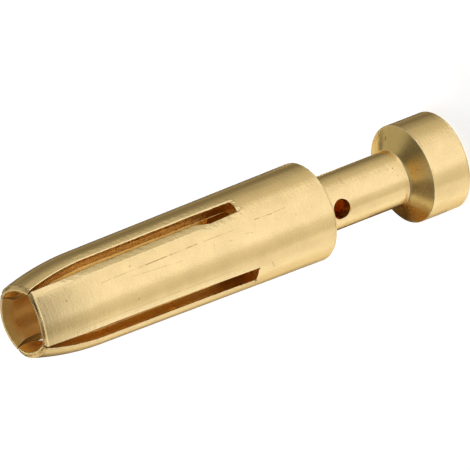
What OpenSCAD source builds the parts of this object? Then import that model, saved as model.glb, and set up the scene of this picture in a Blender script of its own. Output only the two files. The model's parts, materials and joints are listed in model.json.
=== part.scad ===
// Crimp socket contact, turned from one piece of brass and gold plated.
// It stands on the rear face of its flange, with the axis along Z and the socket mouth at the top.

/* [Barrel] */
// Outside diameter of the barrel at the shoulder
body_d = 4; // [3.6:0.05:4.4]
// Outside diameter of the barrel where the tines start to bend
front_d = 3.76; // [3.6:0.02:4.2]
// Length of the barrel from the shoulder to the start of the bend
barrel_l = 10.6; // [9:0.05:13]
// Thickness of the barrel wall where the tines start to bend
wall_t = 0.48; // [0.4:0.01:0.6]
// Length of the closed ring between the end of the socket bore and the saw cuts
ring_l = 0.9; // [0.5:0.05:1.5]
// Edge break on the shoulder
shoulder_edge = 0.05; // [0.02:0.01:0.15]

/* [Tines] */
// Diameter of the mating pin, which spreads the closed tines
pin_d = 2.5; // [2.4:0.02:2.6]
// Radial distance by which the sized throat is smaller than the pin
preload = 0.17; // [0.1:0.01:0.2]
// Distance by which the tip of each tine is closed in toward the axis
close_in = 0.45; // [0.35:0.01:0.55]
// Gap left between neighbouring tines at the mouth
mouth_gap = 0.02; // [0.01:0.005:0.06]
// Distance from the shoulder to the root of the deeper saw cut
slot_root = 3.76; // [2.5:0.02:5]
// Step by which the other saw cut stops short of it
slot_step = 0.16; // [0:0.02:0.3]
// Length of the curved stretch of each tine
bend_l = 3.12; // [2.6:0.02:4.5]
// Chamfer round the outside of the mouth
nose_edge = 0.12; // [0.05:0.01:0.15]
// Width of the flat ring left on the end face of the mouth
land_t = 0.08; // [0.04:0.01:0.12]
// Included angle of the lead-in cone inside the mouth
lead_angle = 80; // [60:5:120]

/* [Crimp end] */
// Diameter of the crimp neck
neck_d = 2.25; // [2:0.05:2.6]
// Length of the crimp neck
neck_l = 4.8; // [4:0.05:6]
// Diameter of the wire bore
wire_d = 1.45; // [1.2:0.05:1.6]
// Distance that the wire bore runs on past the inspection hole
wire_past_hole = 0.35; // [0.1:0.05:0.6]
// Diameter of the inspection hole
hole_d = 0.8; // [0.6:0.05:1]
// Distance from the shoulder to the middle of the inspection hole
hole_back = 0.95; // [0.7:0.05:1.5]
// Turn of the inspection hole from the middle of the front tine
hole_turn = -16.5; // [-45:0.5:45]

/* [Flange] */
// Diameter of the rear flange
flange_d = 4; // [3.4:0.05:4.4]
// Thickness of the rear flange
flange_l = 1.8; // [1.2:0.02:2.4]
// Edge break on both sides of the flange
flange_edge = 0.08; // [0.02:0.01:0.2]
// Diameter of the countersunk wire entry
entry_d = 2.5; // [2:0.05:3]
// Included angle of the wire entry
entry_angle = 90; // [60:5:120]

/* [Hidden] */
// stations along the axis, from the rear face
shoulder_z = flange_l + neck_l;
bend_z = shoulder_z + barrel_l;
slot_z = shoulder_z + slot_root;
hole_z = shoulder_z - hole_back;
wire_z = hole_z + hole_d / 2 + wire_past_hole;
bore_z = slot_z - ring_l;
bore_d = front_d - 2 * wall_t;

// the throat grips the pin, and the slots are as wide as the closing needs, to a whole micrometre
grip_r = pin_d / 2 - preload;
slot_apex = ceil((close_in + mouth_gap / sqrt(2)) * 1000) / 1000; // where the slot walls cross X

// bend of one tine, about an axis beyond the far side of the barrel
bend_angle = 2 * close_in / bend_l * 180 / PI;
bend_r = bend_l / (bend_angle * PI / 180);
bend_x = (front_d + bore_d) / 4 - bend_r;
mouth_z = bend_z + (front_d / 2 - nose_edge - bend_x) * sin(bend_angle);

tines = 4;
front = -90; // the tine that faces the front
cut = 1; // tools run this far past the surfaces they open
over_angle = 1; // the bend is swept this many degrees past the end face, which is then cut
$fn = 96;

// outside of the bar after turning, up to the start of the bend
module turned_bar() {
    rotate_extrude()
        polygon([
            [0, 0],
            [flange_d / 2 - flange_edge, 0],
            [flange_d / 2, flange_edge],
            [flange_d / 2, flange_l - flange_edge],
            [flange_d / 2 - flange_edge, flange_l],
            [neck_d / 2, flange_l],
            [neck_d / 2, shoulder_z],
            [body_d / 2 - shoulder_edge, shoulder_z],
            [body_d / 2, shoulder_z + shoulder_edge],
            [front_d / 2, bend_z],
            [0, bend_z]
        ]);
}

// flat-ended bore that the mating pin goes into
module socket_bore() {
    translate([0, 0, bore_z])
        cylinder(d = bore_d, h = bend_z - bore_z + cut);
}

// both saw cuts across the barrel, which leave the tines standing between them
module slots() {
    near = body_d;
    far = near + slot_apex;
    for (i = [0, 1])
        rotate([0, 0, 90 * i])
            translate([0, 0, slot_z + slot_step * i])
                linear_extrude(height = bend_z - slot_z + cut)
                    polygon([[far, near], [near, far], [-far, -near], [-near, -far]]);
}

// ground between two neighbouring cuts, seen along the axis, for a tine that points along X
module between_slots() {
    near = body_d;
    far = near + slot_apex;
    polygon([[far, -near], [slot_apex, 0], [far, near]]);
}

// cross section of one tine
module tine_section() {
    difference() {
        intersection() {
            circle(d = front_d);
            between_slots();
        }
        circle(d = bore_d);
    }
}

// what the lathe took off the mouth before bending: the end face, the lead-in cone and the chamfer
module mouth_turning() {
    outer = front_d / 2 - nose_edge;
    inner = outer - land_t;
    rotate_extrude()
        polygon([
            [0, -inner / tan(lead_angle / 2)],
            [inner, 0],
            [outer, 0],
            [outer + cut, -cut],
            [outer + cut, cut],
            [0, cut]
        ]);
}

// curved front stretch of one tine, leaning in toward the axis
module bent_tine() {
    translate([bend_x, 0, bend_z])
        difference() {
            rotate([90, 0, 0])
                rotate_extrude(angle = bend_angle + over_angle)
                    translate([-bend_x, 0])
                        tine_section();
            rotate([0, -bend_angle, 0])
                translate([-bend_x, 0, 0])
                    mouth_turning();
        }
}

// flat-ended wire bore from the rear face, with its countersunk entry
module wire_bore() {
    r = wire_d / 2;
    entry_r = entry_d / 2;
    slope = tan(entry_angle / 2);
    rotate_extrude()
        polygon([
            [0, -cut],
            [entry_r + cut * slope, -cut],
            [r, (entry_r - r) / slope],
            [r, wire_z],
            [0, wire_z]
        ]);
}

// reamer that sizes the throat of the closed tines, and leaves a land on each of them
module mouth_sizing() {
    translate([0, 0, mouth_z - bend_l / 3])
        cylinder(r = grip_r, h = bend_l / 3 + cut);
}

// hole through one wall of the neck that shows the wire in its bore
module inspection_hole() {
    translate([0, 0, hole_z])
        rotate([0, 0, front + hole_turn])
            rotate([0, 90, 0])
                cylinder(d = hole_d, h = neck_d);
}

module contact() {
    color([0.84, 0.71, 0.45])
        difference() {
            union() {
                difference() {
                    turned_bar();
                    socket_bore();
                    slots();
                }
                for (i = [0 : tines - 1])
                    rotate([0, 0, front + 90 * i])
                        bent_tine();
            }
            mouth_sizing();
            wire_bore();
            inspection_hole();
        }
}

contact();
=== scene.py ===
import json
import math

import bmesh
import bpy
from mathutils import Matrix, Vector


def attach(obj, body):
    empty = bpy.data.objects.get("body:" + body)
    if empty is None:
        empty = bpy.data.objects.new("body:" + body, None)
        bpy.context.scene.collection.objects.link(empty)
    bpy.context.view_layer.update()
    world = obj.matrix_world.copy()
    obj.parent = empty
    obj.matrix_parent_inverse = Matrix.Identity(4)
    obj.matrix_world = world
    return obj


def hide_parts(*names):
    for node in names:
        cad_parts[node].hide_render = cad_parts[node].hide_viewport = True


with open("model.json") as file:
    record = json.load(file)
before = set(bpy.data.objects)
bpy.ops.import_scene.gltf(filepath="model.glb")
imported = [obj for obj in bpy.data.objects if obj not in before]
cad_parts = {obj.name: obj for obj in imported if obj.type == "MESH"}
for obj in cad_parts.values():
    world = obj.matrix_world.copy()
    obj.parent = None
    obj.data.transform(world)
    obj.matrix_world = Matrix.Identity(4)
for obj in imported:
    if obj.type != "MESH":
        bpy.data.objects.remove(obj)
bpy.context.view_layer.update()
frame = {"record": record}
scene = bpy.context.scene


# Contact
# One piece: a brass bar turned with a flange, a neck and a barrel, and bored from both ends. Two saw cuts
# split the barrel into four tines, which are closed in at the mouth, and all of it is gold plated.
# Sizes are in millimetres, with heights from the rear face of the flange.
mm = 0.001
same = 1e-3  # lengths that differ by less are the same
mounts = {mount["name"]: mount["dims"] for mount in frame["record"]["mounts"]}
flange_r = mounts["flange_rim"]["r_mm"]
wire_r = mounts["wire_bore"]["r_mm"]
flange_l = 1.8
flange_front_edge = 0.02
flange_rear_edge = 0.04
neck_foot_z = 2.305  # the front of the flange is a cone from its rim up to here
neck_foot_edge = 0.04
entry_r = 1.25
neck_r = 1.125
shoulder_z = 6.6
shoulder_edge = 0.05
bore_edge = 0.03
body_r = 2.0
front_r = 1.88
bend_z = 17.2
bore_r = 1.4
bore_z = 9.46
wire_z = 6.4
deep_root_z = 10.36
shallow_root_z = 10.52
slot_half = 0.465 / math.sqrt(2)  # half the width of each saw cut
slot_edge = 0.07
slot_inner_edge = 0.02
cut_skew = math.radians(4.5)  # by which the second cut is off square
skew_fade = math.radians(30)  # part of each tine that the skew fades out over
roll_w = 0.4  # strip beside each cut that is rolled down toward it
roll_drop = 0.035
roll_start = 2  # lengths over which it grows from the root and dies out at the tip
roll_end = 3
lip_z = 11.9  # from here to the mouth, one edge of the front tine is pushed into its cut
lip_start = 0.6
lip_out = 0.25
lip_w = 0.45
lip_drop = 0.07
bend_l = 3.12
close_in = 0.45  # by which the tip of each tine leans toward the axis
nose_edge = 0.12
land_t = 0.08  # flat ring on the end face, between the nose and the lead-in
lead_slope = math.tan(math.radians(40))
lead_round = 0.3
hole_r = 0.4
hole_z = 5.65
hole_azimuth = math.radians(-106.5)


def barrel_radius(z):
    """Radius of the turned barrel, which tapers from the shoulder to the start of the bend."""
    share = (z - shoulder_z) / (bend_z - shoulder_z)
    return body_r + (front_r - body_r) * min(share, 1)


def made_of_kind(made, kind):
    """The new vertices, edges or faces that an operator gives back."""
    return [item for item in made["geom"] if isinstance(item, kind)]


def turn_along(edges, profile):
    """Extrudes a ring of edges along a turned profile of (radius, height) points."""
    for radius, z in profile:
        made = bmesh.ops.extrude_edge_only(bm, edges=edges)
        for vert in made_of_kind(made, bmesh.types.BMVert):
            flat = vert.co.xy.normalized() * radius
            vert.co = (flat.x, flat.y, z)
        edges = made_of_kind(made, bmesh.types.BMEdge)
    return edges


def ring_at(radius, z):
    """The edges that run round the axis at a radius and height."""
    return [
        edge for edge in bm.edges
        if all(abs(v.co.z - z) < same and abs(v.co.xy.length - radius) < same for v in edge.verts)
    ]


def round_off(edges, size, segments):
    bmesh.ops.bevel(
        bm, geom=edges, offset=size, affect="EDGES", segments=segments, profile=0.5, material=-1
    )


def raise_faces(faces, z):
    """Extrudes faces up to a height, and gives back the raised faces."""
    edges = {edge for face in faces for edge in face.edges}
    made = bmesh.ops.extrude_face_region(bm, geom=faces + list(edges))
    for vert in made_of_kind(made, bmesh.types.BMVert):
        vert.co.z = z
    return made_of_kind(made, bmesh.types.BMFace)


# ring-shaped section at the root of the deeper cut, marked out by the four lines of the saw blade
bm = bmesh.new()
section_steps = 168
root_r = barrel_radius(deep_root_z)
wall_t = root_r - bore_r
level = Matrix.Translation((0, 0, deep_root_z))
for radius in (root_r, bore_r):
    bmesh.ops.create_circle(bm, segments=section_steps, radius=radius, matrix=level)
bmesh.ops.bridge_loops(bm, edges=bm.edges[:])
blades = [Vector((math.cos(a), math.sin(a), 0)) for a in (math.pi / 4, -math.pi / 4)]
for blade in blades:
    for side in (slot_half, -slot_half):
        everything = bm.verts[:] + bm.edges[:] + bm.faces[:]
        bmesh.ops.bisect_plane(bm, geom=everything, dist=1e-6, plane_co=blade * side, plane_no=blade)


def from_cut(point):
    """Distance from the middle of the nearer saw cut."""
    return min(abs(point.dot(blade)) for blade in blades)


# lines of the section that would stand in the way of the rounded edges of the cuts
edge_room = 1.6 * slot_edge
short_rise = 0.1  # edges whose radius changes by less run round the axis
close_by = []
for edge in bm.edges:
    gaps = [abs(from_cut(v.co) - slot_half) for v in edge.verts]
    radial = abs(edge.verts[0].co.xy.length - edge.verts[1].co.xy.length) > short_rise
    if radial and max(gaps) > same and min(gaps) < edge_room:
        close_by.append(edge)
bmesh.ops.dissolve_edges(bm, edges=close_by, use_verts=True)

# rear half, turned down from the outer rim, with a ring beside each edge that keeps its wear and painted edge
# highlight narrow
outer_rim = ring_at(root_r, deep_root_z)
inner_rim = ring_at(bore_r, deep_root_z)
rim = 0.15
window = 0.5  # half the height of the part of each wall that the hole is cut from
window_steps = 20
wire_window_steps = 8
barrel_mid_z = 8.5  # rings on the straight stretches
neck_top_z = 6.4
neck_mid_z = 4.2
wire_mid_z = 2.6
cone_slope = (neck_foot_z - flange_l) / (flange_r - neck_r)
barrel_zs = (deep_root_z - rim, barrel_mid_z, shoulder_z + rim, shoulder_z)
profile = [(barrel_radius(z), z) for z in barrel_zs]
profile += [(body_r - rim, shoulder_z), (neck_r, shoulder_z), (neck_r, neck_top_z)]
profile += [(neck_r, hole_z + window * (1 - 2 * i / window_steps)) for i in range(window_steps + 1)]
profile += [(neck_r, neck_mid_z), (neck_r, neck_foot_z + rim), (neck_r, neck_foot_z)]
profile += [(neck_r + rim, neck_foot_z - rim * cone_slope)]
profile += [(flange_r - rim, flange_l + rim * cone_slope), (flange_r, flange_l), (flange_r, flange_l - rim)]
profile += [(flange_r, rim), (flange_r, 0), (flange_r - rim, 0), (entry_r + rim, 0), (entry_r, 0)]
profile += [(entry_r - rim / 2, rim / 2), (wire_r, entry_r - wire_r), (wire_r, wire_mid_z)]
profile += [
    (wire_r, hole_z - window * (1 - 2 * i / wire_window_steps)) for i in range(wire_window_steps + 1)
]
profile += [(wire_r, wire_z)]
wire_end = turn_along(outer_rim, profile)
bmesh.ops.edgeloop_fill(bm, edges=wire_end)
bore_end = turn_along(inner_rim, [(bore_r, bore_z)])
bmesh.ops.edgeloop_fill(bm, edges=bore_end)
round_off(ring_at(body_r, shoulder_z), shoulder_edge, 4)
round_off(ring_at(neck_r, neck_foot_z), neck_foot_edge, 3)
round_off(ring_at(flange_r, flange_l), flange_front_edge, 3)
round_off(ring_at(flange_r, 0), flange_rear_edge, 4)
round_off(ring_at(entry_r, 0) + ring_at(wire_r, entry_r - wire_r), bore_edge, 3)
round_off(ring_at(wire_r, wire_z) + ring_at(bore_r, bore_z), bore_edge, 3)

# tines, drawn up straight from the section; the second cut stops a little short of the first
section = [face for face in bm.faces if all(abs(v.co.z - deep_root_z) < same for v in face.verts)]
tines = [face for face in section if from_cut(face.calc_center_median()) > slot_half]
shallow = [face for face in section if abs(face.calc_center_median().dot(blades[0])) < slot_half]
raised = raise_faces(tines + shallow, shallow_root_z)
tines = [face for face in raised if from_cut(face.calc_center_median()) > slot_half]
bend_r = bend_l / (2 * close_in / bend_l)
bend_x = (front_r + bore_r) / 2 - bend_r
tip_z = bend_z + bend_l
nose_l = nose_edge * bend_r / (front_r - bend_x)
lead_w = front_r - bore_r - nose_edge - land_t
lead_l = lead_w / lead_slope * bend_r / (bore_r - bend_x)
tine_mid_zs = [13.5, 15, 16.3]
bend_steps = 14
lead_steps = 10
nose_z = tip_z - nose_l
heights = [lip_z, lip_z + lip_start] + tine_mid_zs + [bend_z]
heights += [bend_z + (bend_l - 2 * lead_l) * i / bend_steps for i in range(1, bend_steps + 1)]
heights += [nose_z - (2 * lead_l - nose_l) * i / lead_steps for i in reversed(range(lead_steps))]
heights += [tip_z - nose_l / 2, tip_z]
for z in heights:
    tines = raise_faces(tines, z)
corners = [
    edge for edge in bm.edges
    if abs(edge.verts[0].co.z - edge.verts[1].co.z) > same
    and min(v.co.z for v in edge.verts) > deep_root_z - same
    and all(abs(from_cut(v.co) - slot_half) < same for v in edge.verts)
    and all(min(abs(v.co.xy.length - r) for r in (root_r, bore_r)) < same for v in edge.verts)
]
outer_corners = [edge for edge in corners if edge.verts[0].co.xy.length > bore_r + wall_t / 2]
inner_corners = [edge for edge in corners if edge not in outer_corners]
round_off(outer_corners, slot_edge, 5)
round_off(inner_corners, slot_inner_edge, 2)


def half_tine(radius):
    """Distance from the wall of a cut to the middle of the tine beside it."""
    return radius * math.sqrt(0.5) - slot_half


# taper of the barrel, rolled edges of the cuts, nose chamfer and lead-in, with the sawn walls kept flat
for vert in bm.verts:
    z = vert.co.z
    if z < deep_root_z + same:
        continue
    outer = barrel_radius(z) - nose_edge * max(0, 1 - (tip_z - z) / nose_l)
    into_lead = 1 - (tip_z - z) / lead_l
    lead_share = (into_lead + math.hypot(into_lead, lead_round)) / (1 + math.hypot(1, lead_round))
    inner = bore_r + lead_w * lead_share
    old = vert.co.xy.length
    outward = (old - bore_r) / wall_t
    azimuth = math.atan2(vert.co.y, vert.co.x)
    cut_azimuth = math.pi / 4 + math.pi / 2 * math.floor(azimuth / (math.pi / 2))
    off = old * math.sin(azimuth - cut_azimuth)
    past_edge = max(0, abs(off) - slot_half)
    roll = max(0, 1 - past_edge / roll_w) ** 2
    roll *= max(0, min(1, (z - shallow_root_z) / roll_start, (tip_z - z) / roll_end))
    on_front = -math.pi / 2 < azimuth < -math.pi / 4
    lip = max(0, min(1, (z - lip_z) / lip_start, (tip_z - z) / bend_l)) if on_front else 0
    drop = roll_drop * roll + lip_drop * lip * max(0, 1 - past_edge / lip_w) ** 2
    new = inner + (outer - inner - drop) * outward
    stretch = half_tine(new) / half_tine(old)
    new_off = math.copysign(min(abs(off), slot_half) + past_edge * stretch, off)
    new_off += lip_out * lip * (1 - past_edge / half_tine(old))
    azimuth = cut_azimuth + math.asin(new_off / new)
    vert.co.xy = (new * math.cos(azimuth), new * math.sin(azimuth))

# closing of the mouth, by a bend of each tine about a line beyond the far side of the barrel
for vert in bm.verts:
    if vert.co.z > bend_z + same:
        quarter = round(math.atan2(vert.co.y, vert.co.x) / (math.pi / 2))
        turn = Matrix.Rotation(math.pi / 2 * quarter, 2)
        flat = turn.transposed() @ vert.co.xy
        angle = (vert.co.z - bend_z) / bend_r
        arm = flat.x - bend_x
        flat = turn @ Vector((bend_x + arm * math.cos(angle), flat.y))
        vert.co = (flat.x, flat.y, bend_z + arm * math.sin(angle))

# the second cut was sawn off square: what lies beside it is turned, and less and less across each tine
for vert in bm.verts:
    azimuth = math.atan2(vert.co.y, vert.co.x)
    off = (azimuth + math.pi / 4) % math.pi - math.pi / 2
    above_bore_end = (vert.co.z - bore_z) / (deep_root_z - bore_z)
    share = min(1, (math.pi / 4 - abs(off)) / skew_fade, above_bore_end)
    if share > 0:
        vert.co.xy = Matrix.Rotation(-cut_skew * share, 2) @ vert.co.xy

# inspection hole: a window in the neck and one in the wire bore, drawn in to the hole's rim and joined
aim = Vector((math.cos(hole_azimuth), math.sin(hole_azimuth), 0))
across = Vector((-aim.y, aim.x, 0))
just_before = 0.01


def hole_turn(point):
    """Angle round the hole's axis, counted from just before zero, where one vertex lies."""
    turn = math.atan2(point.z - hole_z, point.dot(across)) + just_before
    return turn % (2 * math.pi)


# reach of each window in degrees, and the steps of its rim as (wider than the hole, sunk below the wall)
neck_window = (neck_r, 24.6, ((0.04, 0), (0.012, 0.004), (0, 0.02)))
bore_window = (wire_r, 38, ((0, 0),))
rims = []
for wall_r, reach, steps in (neck_window, bore_window):
    inside = []
    for face in bm.faces:
        centre = face.calc_center_median()
        on_wall = all(abs(v.co.xy.length - wall_r) < same for v in face.verts)
        turn = math.atan2(centre.dot(across), centre.dot(aim))
        if on_wall and abs(centre.z - hole_z) < window and abs(turn) < math.radians(reach):
            inside.append(face)
    bmesh.ops.delete(bm, geom=inside, context="FACES")
    border = [edge for edge in bm.edges if edge.is_boundary and edge not in rims]
    for wider, sunk in steps:
        made = bmesh.ops.extrude_edge_only(bm, edges=border)
        new_verts = made_of_kind(made, bmesh.types.BMVert)
        ordered = sorted(new_verts, key=lambda v: hole_turn(v.co))
        for i, vert in enumerate(ordered):
            turn = 2 * math.pi * i / len(ordered)
            side = (hole_r + wider) * math.cos(turn)
            vert.co = aim * (math.sqrt(wall_r ** 2 - side ** 2) - sunk) + across * side
            vert.co.z = hole_z + (hole_r + wider) * math.sin(turn)
        border = made_of_kind(made, bmesh.types.BMEdge)
    rims += border
hole_wall = set(bmesh.ops.bridge_loops(bm, edges=rims)["faces"])

# finish of each face by the tool that left it
turned, sawn, bored, drilled, faced = range(5)
bmesh.ops.recalc_face_normals(bm, faces=bm.faces)
for face in bm.faces:
    centre = face.calc_center_median()
    outward = face.normal.xy.dot(centre.xy.normalized())
    faces_in = outward < -0.6
    faces_out = outward >= 0.6
    level_face = abs(face.normal.z) > 0.9
    upright = abs(face.normal.z) < 0.5
    on_cone = face.normal.z > 0.85 and centre.z < neck_foot_z
    in_slots = centre.z > deep_root_z - same
    at_roots = in_slots and centre.z < shallow_root_z + same
    if face in hole_wall or (faces_in and centre.z < wire_z):
        face.material_index = drilled
    elif faces_in:
        face.material_index = bored
    elif on_cone or (level_face and not at_roots):
        face.material_index = faced
    elif in_slots and not faces_out and (level_face or upright):
        face.material_index = sawn

# share of wear and painted edge highlight at each vertex: full on the outer edges, none on the flats between
# them
worn_turn = math.radians(12)
sharp_turn = math.radians(35)
edge_wear_and_sheen = bm.verts.layers.float.new("edge_wear_and_sheen")
for vert in bm.verts:
    turns = [edge.calc_face_angle_signed(0) for edge in vert.link_edges]
    vert[edge_wear_and_sheen] = min(1, max(0, max(turns) / worn_turn))
for vert in bm.verts:
    vert.co *= mm
mesh = bpy.data.meshes.new("contact_body")
bm.to_mesh(mesh)
bm.free()
mesh.shade_smooth()
mesh.set_sharp_from_angle(angle=sharp_turn)
body = bpy.data.objects.new("contact_body", mesh)
scene.collection.objects.link(body)


def add_node(tree, kind, inputs=None, **settings):
    """Adds a shader node, sets its properties, and sets or links its inputs."""
    node = tree.nodes.new("ShaderNode" + kind)
    for name, value in settings.items():
        setattr(node, name, value)
    for socket, value in (inputs or {}).items():
        if isinstance(value, bpy.types.NodeSocket):
            tree.links.new(value, node.inputs[socket])
        else:
            node.inputs[socket].default_value = value
    return node


def linear(code):
    """An sRGB hex code as the linear colour that a socket takes."""
    channels = [int(code[i:i + 2], 16) / 255 for i in (1, 3, 5)]
    return [c / 12.92 if c <= 0.04045 else ((c + 0.055) / 1.055) ** 2.4 for c in channels] + [1.0]


# marks of handling on the turned outside: azimuth in degrees and height in mm of both ends,
# half the width in mm, and how dark the mark is
scratches = [
    (-75.2, 17.5, -74.4, 15.4, 0.02, 0.4),
    (-74.4, 15.4, -73.5, 12.9, 0.026, 0.7),
    (-73.5, 12.6, -73.8, 11.2, 0.02, 0.4),
    (-71.3, 10.1, -72, 9.3, 0.024, 0.55),
    (-71.6, 9.2, -71.3, 8.6, 0.02, 0.35),
    (-81.2, 16.1, -85.5, 13.8, 0.018, 0.3),
    (-83.9, 11.5, -85.3, 11.2, 0.02, 0.4),
    (-81.4, 10.9, -84.2, 10.4, 0.02, 0.4),
    (-126, 9.76, -135, 9.6, 0.022, 0.5),
    (-59.5, 20.04, -73, 20.09, 0.03, 0.6),
    (-86.5, 20.1, -96.7, 20.1, 0.03, 0.7),
    (-62, 18.95, -68, 18.97, 0.02, 0.4),
    (-70, 18.9, -77, 18.95, 0.02, 0.35),
    (-66, 18.75, -74, 18.8, 0.02, 0.3),
    (-40, 5.15, -58, 5.2, 0.04, 0.25),
    (-56, 4.6, -88, 4.67, 0.02, 0.3),
    (-66.5, 1.09, -69, 1.09, 0.02, 0.3),
]
# pits on the turned outside: azimuth in degrees, height in mm, radius in mm and how dark the pit is
pits = [
    (-1, 2.06, 0.05, 0.8),
    (-25, 2.53, 0.07, 0.5),
    (-64.5, 3.04, 0.035, 0.7),
    (-66, 2.82, 0.045, 0.8),
    (-71, 2.78, 0.03, 0.7),
    (-74, 2.91, 0.03, 0.6),
    (-77.5, 3.05, 0.025, 0.5),
    (-82.5, 2.76, 0.03, 0.6),
    (-88, 2.56, 0.03, 0.5),
    (-68.5, 3.16, 0.025, 0.5),
    (-79.8, 19.1, 0.04, 0.8),
    (-82.1, 12.22, 0.03, 0.5),
    (-82.4, 8.3, 0.03, 0.5),
]

# Gold over brass, in order of the finishes above: name, colour, roughness, anisotropy, marks of the tool per
# mm out from the axis and along it, and their height in micrometres. The turned outside is satin with fine
# rings, the sawn walls are ribbed, the bores are deeper in colour, and the faced ends have faint rings.
# The real marks are finer than the picture can hold, so they are drawn coarser here.
finishes = (
    ("gold_plated_turned_brass", "#FEDD9A", 0.15, 0.4, 9, 9, 4.5),
    ("gold_plated_sawn_brass", "#FFC86A", 0.3, 0.0, 0.5, 5, 12),
    ("gold_plated_bored_brass", "#FFCE72", 0.42, 0.0, 6, 6, 3),
    ("gold_plated_drilled_brass", "#FFC868", 0.3, 0.0, 6, 6, 3),
    ("gold_plated_faced_brass", "#FEDD8E", 0.24, 0.5, 8, 8, 1.5),
)
micrometre = 1e-6
uneven = 0.92  # brightness of the darker places in the plating
# paler gold of the edges: rubbed plating and a painted highlight
rubbed_and_sheen_gold = "#FFE6AE"
marked_gold = "#8A6528"
grazing_gold = "#FFEECC"
grain_per_mm = 14
cloud_per_mm = 1.3
nicks_per_mm = 5
specks_per_mm = 1.2
dashes_per_mm = 4
# painted shade and light along the axis: heights where the paint starts and ends, its share and its colour
# painted shade in the closed part of each cut
painted_shade_in_closed_cut = (bend_z + 0.8, tip_z - 0.4, 0.6, "#7A4A18")
# painted light: the bore painted paler deep inside
painted_light_deep_in_bore = (bend_z + 1, bend_z - 2, 1.0, "#FFD278")
painted_along_axis = {sawn: painted_shade_in_closed_cut, bored: painted_light_deep_in_bore}
for index, finish in enumerate(finishes):
    name, code, rough, directed, per_mm_out, per_mm_up, height_um = finish
    gold = bpy.data.materials.new(name)
    gold.use_nodes = True
    tree = gold.node_tree
    tree.nodes.clear()
    place = add_node(tree, "TexCoord").outputs["Object"]
    place = add_node(tree, "VectorMath", {0: place, "Scale": 1 / mm}, operation="SCALE").outputs[0]
    axes = add_node(tree, "SeparateXYZ", {0: place}).outputs
    flat = add_node(tree, "VectorMath", {0: place, 1: (1, 1, 0)}, operation="MULTIPLY").outputs[0]
    radius = add_node(tree, "VectorMath", {0: flat}, operation="LENGTH").outputs["Value"]

    # marks of the tool, which run round the axis and fade in and out along the way
    rings = add_node(tree, "CombineXYZ", {0: radius, 1: axes["X"], 2: axes["Z"]}).outputs[0]
    spacing = (per_mm_out, per_mm_up / 10, per_mm_up)
    rings = add_node(tree, "VectorMath", {0: rings, 1: spacing}, operation="MULTIPLY").outputs[0]
    rings = add_node(tree, "TexNoise", {"Vector": rings, "Scale": 1.0, "Detail": 3.0}).outputs["Fac"]
    grain = {"Vector": place, "Scale": grain_per_mm, "Detail": 2.0}
    grain = add_node(tree, "TexNoise", grain).outputs["Fac"]
    cloud = {"Vector": place, "Scale": cloud_per_mm, "Detail": 3.0}
    cloud = add_node(tree, "TexNoise", cloud).outputs["Fac"]
    relief = add_node(tree, "Math", {0: rings, 1: grain}, operation="ADD").outputs[0]

    # rubbed edges, with small nicks along them; the same mask paints the edges paler below, as wear and a
    # painted highlight
    rubbed_and_sheen = add_node(tree, "Attribute", attribute_name="edge_wear_and_sheen").outputs["Fac"]
    rubbed_and_sheen = add_node(tree, "MapRange", {"Value": rubbed_and_sheen, "From Min": 0.6}).outputs["Result"]
    nicks = {"Vector": place, "Scale": nicks_per_mm, "Detail": 2.0}
    nicks = add_node(tree, "TexNoise", nicks).outputs["Fac"]
    nicks = add_node(tree, "Math", {0: nicks, 1: rubbed_and_sheen}, operation="MULTIPLY").outputs[0]
    relief = add_node(tree, "Math", {0: nicks, 1: 6.0, 2: relief}, operation="MULTIPLY_ADD").outputs[0]

    # fine pits anywhere, and the scratches and pits of the turned outside in their own places
    specks = add_node(tree, "TexVoronoi", {"Vector": place, "Scale": specks_per_mm}).outputs["Distance"]
    marks = {"Value": specks, "From Min": 0.07, "From Max": 0.03, "To Max": 0.35}
    marks = add_node(tree, "MapRange", marks).outputs["Result"]
    if index in (turned, faced):
        angle = add_node(tree, "Math", {0: axes["Y"], 1: axes["X"]}, operation="ARCTAN2").outputs[0]
        along = add_node(tree, "Math", {0: angle, 1: front_r}, operation="MULTIPLY").outputs[0]
        unrolled = add_node(tree, "CombineXYZ", {0: along, 1: axes["Z"]}).outputs[0]
        dashes = {"Vector": place, "Scale": dashes_per_mm, "Detail": 1.0}
        dashes = add_node(tree, "TexNoise", dashes).outputs["Fac"]
        dashes = {"Value": dashes, "From Min": 0.35, "From Max": 0.5, "To Min": 0.15}
        dashes = add_node(tree, "MapRange", dashes).outputs["Result"]
        for from_deg, from_z, to_deg, to_z, half_width, dark in scratches:
            start = Vector((math.radians(from_deg) * front_r, from_z, 0))
            run = Vector((math.radians(to_deg) * front_r, to_z, 0)) - start
            step = run / run.length_squared
            away = add_node(tree, "VectorMath", {0: unrolled, 1: start}, operation="SUBTRACT").outputs[0]
            share = add_node(tree, "VectorMath", {0: away, 1: step}, operation="DOT_PRODUCT")
            share = add_node(tree, "Clamp", {"Value": share.outputs["Value"]}).outputs[0]
            foot = add_node(tree, "VectorMath", {0: run, "Scale": share}, operation="SCALE").outputs[0]
            gap = add_node(tree, "VectorMath", {0: away, 1: foot}, operation="DISTANCE").outputs["Value"]
            width = {"Value": gap, "From Min": half_width, "From Max": 0.2 * half_width, "To Max": dark}
            line = add_node(tree, "MapRange", width).outputs["Result"]
            line = add_node(tree, "Math", {0: line, 1: dashes}, operation="MULTIPLY").outputs[0]
            marks = add_node(tree, "Math", {0: marks, 1: line}, operation="MAXIMUM").outputs[0]
        for deg, z, pit_r, dark in pits:
            spot = Vector((math.radians(deg) * front_r, z, 0))
            gap = add_node(tree, "VectorMath", {0: unrolled, 1: spot}, operation="DISTANCE").outputs["Value"]
            width = {"Value": gap, "From Min": pit_r, "From Max": 0.4 * pit_r, "To Max": dark}
            pit = add_node(tree, "MapRange", width).outputs["Result"]
            marks = add_node(tree, "Math", {0: marks, 1: pit}, operation="MAXIMUM").outputs[0]
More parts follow.
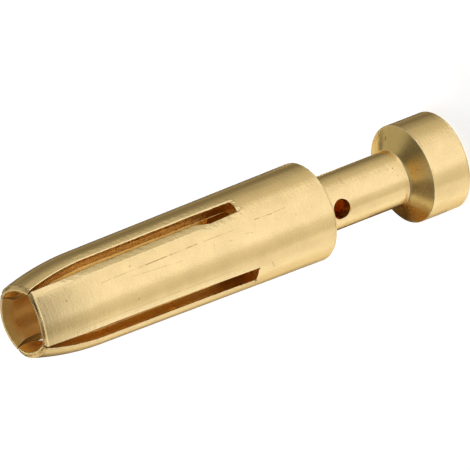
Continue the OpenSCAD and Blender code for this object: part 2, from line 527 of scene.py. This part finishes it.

    # colour, a little uneven, with painted shade and light along the axis, edges painted paler for rubbed
    # plating and a painted highlight, and darker marks
    tone = add_node(tree, "Math", {0: cloud, 1: grain}, operation="ADD").outputs[0]
    tone = {"Value": tone, "From Min": 0.75, "From Max": 1.25}
    tone = add_node(tree, "MapRange", tone).outputs["Result"]
    dull = [c * uneven for c in linear(code)]
    tone = add_node(tree, "Mix", {0: tone, 6: linear(code), 7: dull}, data_type="RGBA").outputs[2]
    # painted shade in the closed cut of the sawn walls, and painted light deep in the bore
    if index in painted_along_axis:
        start_z, end_z, share, painted_code = painted_along_axis[index]
        painted_share = {"Value": axes["Z"], "From Min": start_z, "From Max": end_z, "To Max": share}
        painted_share = add_node(tree, "MapRange", painted_share).outputs["Result"]
        tone = add_node(tree, "Mix", {0: painted_share, 6: tone, 7: linear(painted_code)}, data_type="RGBA").outputs[2]
    # edges painted paler: rubbed plating and a painted highlight along them
    paler_rubbed_and_sheen = add_node(tree, "Math", {0: rubbed_and_sheen, 1: 0.35}, operation="MULTIPLY").outputs[0]
    tone = add_node(tree, "Mix", {0: paler_rubbed_and_sheen, 6: tone, 7: linear(rubbed_and_sheen_gold)}, data_type="RGBA").outputs[2]
    tone = add_node(tree, "Mix", {0: marks, 6: tone, 7: linear(marked_gold)}, data_type="RGBA").outputs[2]
    matt = {"Value": cloud, "From Min": 0.3, "From Max": 0.7}
    matt.update({"To Min": rough - 0.04, "To Max": rough + 0.06})
    matt = add_node(tree, "MapRange", matt).outputs["Result"]
    matt = add_node(tree, "Math", {0: marks, 1: 0.25, 2: matt}, operation="MULTIPLY_ADD").outputs[0]
    bump = add_node(tree, "Bump", {"Strength": 1.0, "Distance": height_um * micrometre, "Height": relief})
    tangent = add_node(tree, "Tangent", direction_type="RADIAL", axis="Z")
    surface = add_node(tree, "BsdfPrincipled", {
        "Base Color": tone,
        "Metallic": 1.0,
        "Specular Tint": linear(grazing_gold),
        "Roughness": matt,
        "Anisotropic": directed,
        "Anisotropic Rotation": 0.25,
        "Tangent": tangent.outputs["Tangent"],
        "Normal": bump.outputs["Normal"],
    })
    add_node(tree, "OutputMaterial", {"Surface": surface.outputs["BSDF"]})
    mesh.materials.append(gold)
weighted = body.modifiers.new("even_shading", "WEIGHTED_NORMAL")
weighted.keep_sharp = True
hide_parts("contact")
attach(body, "root")


# Studio light
# The contact lay on its side on a white table when it was photographed, with soft light from above and in
# front. The world holds that room, turned with the contact: its light changes with height, and falls off
# from the flange's end of the room to the mouth's.
studio_turn = math.radians(-44)
studio_up = Vector((math.cos(studio_turn), math.sin(studio_turn), 0))
studio_front = Vector((math.sin(studio_turn), -math.cos(studio_turn), 0))
studio_left = Vector((0, 0, 1))
world = bpy.data.worlds.new("studio")
scene.world = world
world.use_nodes = True
tree = world.node_tree
tree.nodes.clear()
way = add_node(tree, "TexCoord").outputs["Generated"]
up_share = add_node(tree, "VectorMath", {0: way, 1: studio_up}, operation="DOT_PRODUCT")
up_share = up_share.outputs["Value"]
front_share = add_node(tree, "VectorMath", {0: way, 1: studio_front}, operation="DOT_PRODUCT")
front_share = front_share.outputs["Value"]
left_share = add_node(tree, "SeparateXYZ", {0: way}).outputs["Z"]

# brightness of the front and the back of the room by height, and how both fall from right to left
front_by_height = [(-0.85, 0.85), (-0.7, 1.0), (-0.3, 0.86), (0, 0.68), (0.2, 0.74), (0.5, 1.05), (1, 1)]
back_by_height = [(-0.8, 0.6), (-0.45, 0.35), (0, 0.18), (0.25, 0.28), (0.5, 0.5), (0.75, 0.6), (0.86, 1)]
front_by_side = [
    (-0.53, 1), (-0.25, 0.78), (-0.05, 0.56), (0.1, 0.4),
    (0.25, 0.18), (0.53, 0.24), (0.7, 0.35), (0.85, 0.5),
]
back_by_side = [(-0.53, 1), (-0.1, 0.9), (0.2, 0.7), (0.53, 0.4), (1, 0.3)]
warm_up_to = 0.55  # dimmer light is warm, and brighter light turns cool
halves = []
for by_height, by_side in ((back_by_height, back_by_side), (front_by_height, front_by_side)):
    # the ramp by height carries the tint, and the one by side is grey
    colours = []
    for share, stops, tinted in ((up_share, by_height, 1), (left_share, by_side, 0)):
        share = add_node(tree, "MapRange", {"Value": share, "From Min": -1.0}).outputs["Result"]
        ramp = add_node(tree, "ValToRGB", {"Fac": share})
        ramp.color_ramp.interpolation = "EASE"
        while len(ramp.color_ramp.elements) < len(stops):
            ramp.color_ramp.elements.new(0.5)
        for element, (position, bright) in zip(ramp.color_ramp.elements, stops):
            cool = max(0, (bright - warm_up_to) / (1 - warm_up_to))
            red = 1 + tinted * (0.02 - 0.05 * cool)
            blue = 1 + tinted * (0.18 * cool - 0.07)
            element.position = (position + 1) / 2
            element.color = (bright * red, bright, bright * blue, 1)
        colours.append(ramp.outputs["Color"])
    product = {0: 1.0, 6: colours[0], 7: colours[1]}
    half = add_node(tree, "Mix", product, data_type="RGBA", blend_type="MULTIPLY")
    halves.append(half.outputs[2])
front_edge = {"Value": front_share, "From Min": -0.2, "From Max": 0.2}
front_edge = add_node(tree, "MapRange", front_edge, interpolation_type="SMOOTHSTEP").outputs["Result"]
room = add_node(tree, "Mix", {0: front_edge, 6: halves[0], 7: halves[1]}, data_type="RGBA").outputs[2]

# soft patches in the room: direction, cosines where the patch starts and is full, share and colour
far_turn = math.radians(58)
far_wall = Vector((math.cos(far_turn), math.sin(far_turn), 0.47))
dark_end = -0.41 * studio_up + 0.23 * studio_front + 0.88 * studio_left
gold_shadow = -0.9 * studio_up - 0.05 * studio_front + 0.42 * studio_left
bright_strip = -0.685 * studio_up + 0.17 * studio_front + 0.71 * studio_left
patches = (
    (far_wall, 0.65, 0.92, 0.35, (0.95, 0.92, 0.86, 1)),
    (dark_end, 0.94, 0.985, 0.85, (0.1, 0.06, 0.02, 1)),
    (gold_shadow, 0.925, 0.965, 1.0, (0.26, 0.13, 0.03, 1)),
    (bright_strip, 0.975, 0.995, 0.7, (0.75, 0.66, 0.5, 1)),
)
for patch_way, starts, full, share, tint in patches:
    near = add_node(tree, "VectorMath", {0: way, 1: patch_way.normalized()}, operation="DOT_PRODUCT")
    reach = {"Value": near.outputs["Value"], "From Min": starts, "From Max": full, "To Max": share}
    near = add_node(tree, "MapRange", reach, interpolation_type="SMOOTHSTEP").outputs["Result"]
    room = add_node(tree, "Mix", {0: near, 6: room, 7: tint}, data_type="RGBA").outputs[2]
path = add_node(tree, "LightPath").outputs
room_strength = 1.06
floor_strength = 0.35
strength = {"Value": path["Is Diffuse Ray"], "To Min": room_strength, "To Max": floor_strength}
strength = add_node(tree, "MapRange", strength).outputs["Result"]
lit = add_node(tree, "Background", {"Color": room, "Strength": strength}).outputs[0]
white = add_node(tree, "Background", {"Color": (1, 1, 1, 1), "Strength": 1.0}).outputs[0]
seen = add_node(tree, "MixShader", {0: path["Is Camera Ray"], 1: lit, 2: white}).outputs[0]
add_node(tree, "OutputWorld", {"Surface": seen})

# Table card
# A white card stands for the table that the contact lay on, close under its lower side, with painted shade
# that darkens it toward the back.
# Only the metal sees it, with the contact's own shadow on it, and it fades out toward the front.
table_drop = 2.03
card_z = 10
card_back = -9
darkest_painted_shade = -7
card_fade = 0.5
card_front = 2
card_half_l = 40
bm = bmesh.new()
spread = Matrix.Translation(((card_back + card_front) / 2 * mm, 0, 0))
spread = spread @ Matrix.Diagonal(((card_front - card_back) / 2 * mm, card_half_l * mm, 1, 1))
bmesh.ops.create_grid(bm, x_segments=1, y_segments=1, size=1, matrix=spread)
card_mesh = bpy.data.meshes.new("table_card")
bm.to_mesh(card_mesh)
bm.free()
card = bpy.data.objects.new("table_card", card_mesh)
scene.collection.objects.link(card)
card_axes = Matrix((studio_front, studio_up.cross(studio_front), studio_up)).transposed().to_4x4()
card.matrix_world = Matrix.Translation(-table_drop * mm * studio_up + card_z * mm * studio_left) @ card_axes
paper = bpy.data.materials.new("white_card")
paper.use_nodes = True
tree = paper.node_tree
tree.nodes.clear()
spot = add_node(tree, "TexCoord").outputs["Object"]
forward = add_node(tree, "SeparateXYZ", {0: spot}).outputs["X"]
rearward = add_node(tree, "SeparateXYZ", {0: spot}).outputs["Y"]
# painted shade: the card darkens from the front toward the back
painted_light_and_shade = {"Value": forward, "From Min": darkest_painted_shade * mm, "From Max": card_front * mm}
painted_light_and_shade.update({"To Min": 0.15, "To Max": 0.85})
painted_light_and_shade = add_node(tree, "MapRange", painted_light_and_shade).outputs["Result"]
# painted strips of the table: a painted shadow in front of the foot of the neck and a painted pool of light
# behind the flange:
# middle toward the rear, half widths where the strip ends and is full, where it starts and is full
# from front to back, and colour
painted_strips = (
    (7.55, 0.8, 0.5, 0, 0.8, (0.36, 0.18, 0.05, 1)),
    (8.45, 1.1, 0.7, -2.4, -3.4, (0.75, 0.72, 0.65, 1)),
)
for middle, ends, full, starts_x, full_x, tint in painted_strips:
    gap = add_node(tree, "Math", {0: rearward, 1: middle * mm}, operation="SUBTRACT").outputs[0]
    gap = add_node(tree, "Math", {0: gap}, operation="ABSOLUTE").outputs[0]
    reach = {"Value": gap, "From Min": ends * mm, "From Max": full * mm}
    reach = add_node(tree, "MapRange", reach).outputs["Result"]
    reach = {"Value": forward, "From Min": starts_x * mm, "From Max": full_x * mm, "To Max": reach}
    reach = add_node(tree, "MapRange", reach).outputs["Result"]
    painted_light_and_shade = add_node(tree, "Mix", {0: reach, 6: painted_light_and_shade, 7: tint}, data_type="RGBA").outputs[2]
matt = add_node(tree, "BsdfDiffuse", {"Color": painted_light_and_shade}).outputs[0]
clear = add_node(tree, "BsdfTransparent").outputs[0]
fade = {"Value": forward, "From Min": card_front * mm, "From Max": card_fade * mm}
fade = add_node(tree, "MapRange", fade, interpolation_type="SMOOTHSTEP").outputs["Result"]
faded = add_node(tree, "MixShader", {0: fade, 1: clear, 2: matt}).outputs[0]
add_node(tree, "OutputMaterial", {"Surface": faded})
card_mesh.materials.append(paper)
card.visible_camera = False
card.visible_diffuse = False
card.visible_shadow = False

# Lamps
# One soft lamp lights the table card from the room's ceiling, and one the floor under the standing contact.
# The metal doesn't see them: its light is the room above.
lamp_away = 300 * mm
overhead_turn = math.radians(110)
overhead = Vector((math.cos(overhead_turn), math.sin(overhead_turn), 1.8)).normalized()
for name, lamp_way, size, watts in (
    ("table_light", studio_up, 140 * mm, 1.5),
    ("floor_light", overhead, 160 * mm, 0.3),
):
    lamp_data = bpy.data.lights.new(name, "AREA")
    lamp_data.size = size
    lamp_data.energy = watts
    lamp = bpy.data.objects.new(name, lamp_data)
    scene.collection.objects.link(lamp)
    aimed = lamp_way.to_track_quat("Z", "Y").to_matrix().to_4x4()
    lamp.matrix_world = Matrix.Translation(lamp_way * lamp_away) @ aimed
    lamp.visible_glossy = False
    lamp.visible_camera = False

# Floor
# White paper under the flange, which the camera sees as the white background with the contact's faint shadow.
floor_z = -0.02
paper_glow = 0.72
bm = bmesh.new()
level = Matrix.Translation((0, 0, floor_z * mm))
bmesh.ops.create_grid(bm, x_segments=1, y_segments=1, size=1, matrix=level)
floor_mesh = bpy.data.meshes.new("floor")
bm.to_mesh(floor_mesh)
bm.free()
floor = bpy.data.objects.new("floor", floor_mesh)
scene.collection.objects.link(floor)
paper = bpy.data.materials.new("white_paper")
paper.use_nodes = True
tree = paper.node_tree
tree.nodes.clear()
path = add_node(tree, "LightPath").outputs
glow = add_node(tree, "Math", {0: path["Is Camera Ray"], 1: paper_glow}, operation="MULTIPLY").outputs[0]
glow = add_node(tree, "Emission", {"Strength": glow}).outputs[0]
matt = add_node(tree, "BsdfDiffuse", {"Color": (0.8, 0.8, 0.8, 1)}).outputs[0]
total = add_node(tree, "AddShader", {0: matt, 1: glow}).outputs[0]
add_node(tree, "OutputMaterial", {"Surface": total})
floor_mesh.materials.append(paper)
floor.visible_glossy = False

# Camera
# It looks down on the front tine from a third of a metre, rolled so that the axis lies across the picture.
# The middle of the shoulder sits at shoulder_px in the picture of 470 by 470 pixels.
camera_away = 350 * mm
camera_azimuth = math.radians(-84)
camera_elevation = math.radians(32.3)
camera_lean = math.radians(21.23)
pixels_per_mm = 25.82
frame_px = 470
shoulder_px = (305.6, 211.7)
sensor_mm = 36
level_way = Vector((math.cos(camera_azimuth), math.sin(camera_azimuth), 0))
side_way = Vector((-level_way.y, level_way.x, 0))
toward = level_way * math.cos(camera_elevation) + studio_left * math.sin(camera_elevation)
mouth_way = (studio_left - toward * toward.z).normalized()
right = -math.sin(camera_lean) * side_way - math.cos(camera_lean) * mouth_way
up = math.cos(camera_lean) * side_way - math.sin(camera_lean) * mouth_way
shoulder = Vector((0, 0, shoulder_z * mm))
aside = (shoulder_px[0] - frame_px / 2) / pixels_per_mm * mm
above = (frame_px / 2 - shoulder_px[1]) / pixels_per_mm * mm
eye = shoulder + toward * camera_away
backward = (eye - (shoulder - right * aside - up * above)).normalized()
right = up.cross(backward).normalized()
camera_axes = Matrix((right, backward.cross(right), backward)).transposed().to_4x4()
camera_data = bpy.data.cameras.new("camera")
camera_data.sensor_width = sensor_mm
camera_data.lens = sensor_mm * camera_away / (frame_px / pixels_per_mm * mm)
camera_data.clip_start = 10 * mm
camera_data.clip_end = 10
camera = bpy.data.objects.new("camera", camera_data)
scene.collection.objects.link(camera)
camera.matrix_world = Matrix.Translation(eye) @ camera_axes
scene.camera = camera
scene.view_settings.view_transform = "Standard"
